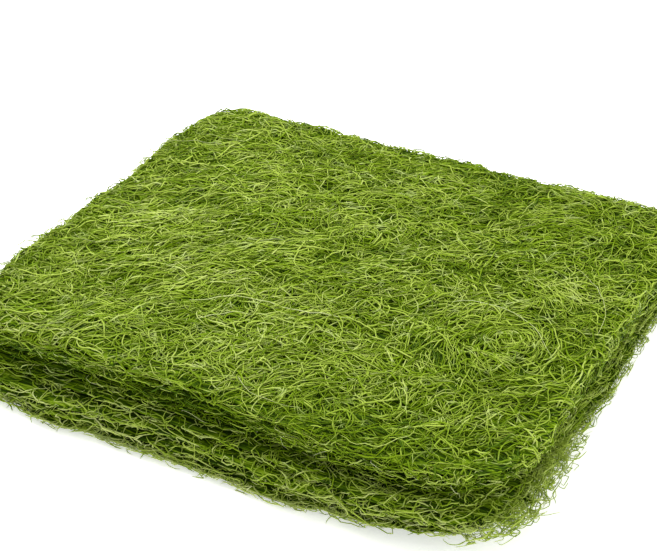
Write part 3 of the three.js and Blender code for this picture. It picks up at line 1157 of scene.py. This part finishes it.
# lighter tones: painted light on the foot, which lies under the overhang's shade
FOOT_RIM = replace(
    LEFT_RIM, density=400000.0, tone=(0.55, 0.9), spot=(0, -105), spot_reach=125, offset=1.0, leash=2.0,
    seed=57,
)
PALE_STRANDS = StrandKind(
    density=260.0, lowest_facing=0.5, length=(20, 55), thickness=(0.11, 0.18), curl=1.0, wander=0.22,
    spread=0.5, layer=(1.6, 2.0), wave=0.3, tone=(1.0, 1.35), points=14, seed=71,
)
LONG_PALE_STRAND = replace(
    PALE_STRANDS, density=75000.0, length=(50, 52), thickness=(0.15, 0.17), curl=0.3, wander=0.1, spread=0.0,
    layer=(1.7, 1.9), tone=(1.1, 1.2), spot=(-23, -46), spot_reach=2, own_heading=math.radians(13),
    own_share=1.0, seed=79,
)
BRIGHT_TUFT = replace(
    TOP_FINE_STRANDS, density=300000.0, length=(8, 16), thickness=(0.12, 0.24), spread=0.12, gaps=0.0,
    spot=(77, 17), spot_reach=10, own_heading=math.radians(-39), own_share=1.0, tone=(0.75, 0.95), seed=15,
)
BLADES = StrandKind(
    density=1800.0, lowest_facing=0.3, length=(4, 10), thickness=(0.28, 0.45), curl=1.2, wander=0.3,
    spread=0.9, layer=(0.9, 1.4), wave=0.2, tone=(0.55, 0.9), points=6, seed=81,
)
SWIRL = StrandKind(
    density=14000.0, lowest_facing=0.5, length=(18, 36), thickness=(0.18, 0.28), curl=0.8, wander=0.25,
    spread=0.45, layer=(1.3, 2.0), wave=0.2, spot=(77, -20), spot_reach=15, tone=(0.5, 0.95), points=12,
    seed=61,
)
TOP_KINDS = {
    "strands": TOP_STRANDS,
    "fine_strands": TOP_FINE_STRANDS,
    "middle_strands": TOP_MIDDLE_STRANDS,
    "under_strands": TOP_UNDER_STRANDS,
    "swirl": SWIRL,
    "left_rim": LEFT_RIM,
    "stray_curls": STRAY_CURLS,
    "bright_tuft": BRIGHT_TUFT,
    "pale": PALE_STRANDS,
    "long_pale": LONG_PALE_STRAND,
    "blades": BLADES,
}


@dataclass(frozen=True)
class Lamp:
    """A large soft light aimed at the stack: its power in watts, the side of its square and its place."""

    power: float
    size: float
    place: Point

    def hang(self, name: str) -> None:
        """Adds the light to the scene."""
        light = bpy.data.lights.new(name, "AREA")
        light.energy = self.power
        light.size = self.size
        lamp = placed(name, light)
        lamp.location = self.place
        lamp.rotation_euler = (-Vector(self.place)).to_track_quat("-Z", "Y").to_euler()


@dataclass
class Studio:
    """Pale floor, soft light and the camera at the photograph's viewing angle."""

    azimuth: float = math.radians(29.01)
    elevation: float = math.radians(31.42)
    distance: float = 648.2 * MM
    aim: Point = (-25.16 * MM, 37.11 * MM, 0.0)
    focal_pixels: float = 1585.3
    image_width: float = 657.0
    sensor: float = 36.0
    nearest: float = 10 * MM
    floor_side: float = 6.0
    floor_colour: Colour = (0.93, 0.93, 0.93, 1.0)
    floor_roughness: float = 0.9
    floor_glow: float = 0.5
    white: Colour = (1.0, 1.0, 1.0, 1.0)
    sky: float = 0.85
    key: Lamp = Lamp(20.0, 0.9, (-0.65, 0.2, 1.05))
    fill: Lamp = Lamp(7.0, 0.8, (1.1, 0.1, 0.35))

    def build(self) -> None:
        """Sets up all of it."""
        bpy.context.scene.view_settings.view_transform = "Standard"
        self.floor()
        self.world()
        self.key.hang("key")
        self.fill.hang("fill")
        self.camera()

    def floor(self) -> None:
        """A wide white floor."""
        mesh = bpy.data.meshes.new("floor")
        half = self.floor_side / 2
        corners = [(-half, -half, 0), (half, -half, 0), (half, half, 0), (-half, half, 0)]
        mesh.from_pydata(corners, [], [(0, 1, 2, 3)])
        material = bpy.data.materials.new("white floor")
        material.use_nodes = True
        inputs = material.node_tree.nodes["Principled BSDF"].inputs
        inputs["Base Color"].default_value = self.floor_colour
        inputs["Roughness"].default_value = self.floor_roughness
        inputs["Emission Color"].default_value = self.white
        inputs["Emission Strength"].default_value = self.floor_glow
        mesh.materials.append(material)
        placed("floor", mesh)

    def world(self) -> None:
        """An even white surrounding."""
        world = bpy.data.worlds.new("studio")
        world.use_nodes = True
        background = world.node_tree.nodes["Background"]
        background.inputs["Color"].default_value = self.white
        background.inputs["Strength"].default_value = self.sky
        bpy.context.scene.world = world

    def camera(self) -> None:
        """The camera, aimed as in the photograph."""
        lens = bpy.data.cameras.new("camera")
        lens.sensor_width = self.sensor
        lens.lens = self.focal_pixels / self.image_width * self.sensor
        lens.clip_start = self.nearest
        level = math.cos(self.elevation)
        x, y = math.sin(self.azimuth) * level, -math.cos(self.azimuth) * level
        back = Vector((x, y, math.sin(self.elevation)))
        camera = placed("camera", lens)
        camera.location = Vector(self.aim) + back * self.distance
        camera.rotation_euler = (-back).to_track_quat("-Z", "Y").to_euler()
        bpy.context.scene.camera = camera


@dataclass
class Sheet:
    """One sheet of the stack: its felt mat and the strands on it."""

    number: int
    node: str
    is_top: bool
    felt: bpy.types.Material
    tree: StrandTree

    def build(self) -> None:
        """Makes the mat in the solid's place, then each kind of strand on it."""
        made = TopMat if self.is_top else LowMat if self.number in NETTED_SHEETS else FeltMat
        mat = made(self.node, self.felt).build()
        self.dress(mat)
        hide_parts(self.node)
        for label, kind in self.kinds().items():
            seeded = replace(kind, seed=kind.seed + SEED_STEP * self.number)
            self.dress(self.tree.run(f"{self.node}_{label}", mat, seeded))

    def kinds(self) -> dict[str, StrandKind]:
        """The kinds of strand that grow on this sheet.

        Returns:
            The kinds by the last part of their piece's name.
        """
        is_recessed = self.number in RECESSED_SHEETS
        kinds = {
            # the set-back sheets get darker strands, painted shade
            "rim": TOP_RIM_STRANDS if self.is_top else RECESSED_STRANDS if is_recessed else RIM_STRANDS,
            "fringe": FRINGE,
        }
        if self.number in NETTED_SHEETS:
            kinds.update(net=CORNER_NET, side_net=SIDE_NET)
        if self.number in FOOT_SHEETS:
            kinds["foot"] = FOOT_RIM
        if is_recessed:
            kinds["pale"] = RECESS_PALE
        if self.number in LEDGE_SHEETS:
            kinds["ledge"] = LEDGE_STRANDS
        if self.is_top:
            kinds.update(TOP_KINDS)
        return kinds

    @staticmethod
    def dress(piece: bpy.types.Object) -> None:
        """Puts a piece on the stack's body and logs its number of faces."""
        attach(piece, BODY)
        LOG.info("%s: %d faces", piece.name, len(piece.data.polygons))


def main() -> None:
    """Builds the studio and the sheets."""
    logging.basicConfig(level=logging.INFO, format="%(asctime)s %(message)s")
    Studio().build()
    felt = MatFinish().material()
    tree = StrandTree(Flow(), StrandFinish().material())
    names = sorted(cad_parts)
    for number, name in enumerate(names, 1):
        Sheet(number, name, number == len(names), felt, tree).build()


if __name__ == "__main__":
    main()
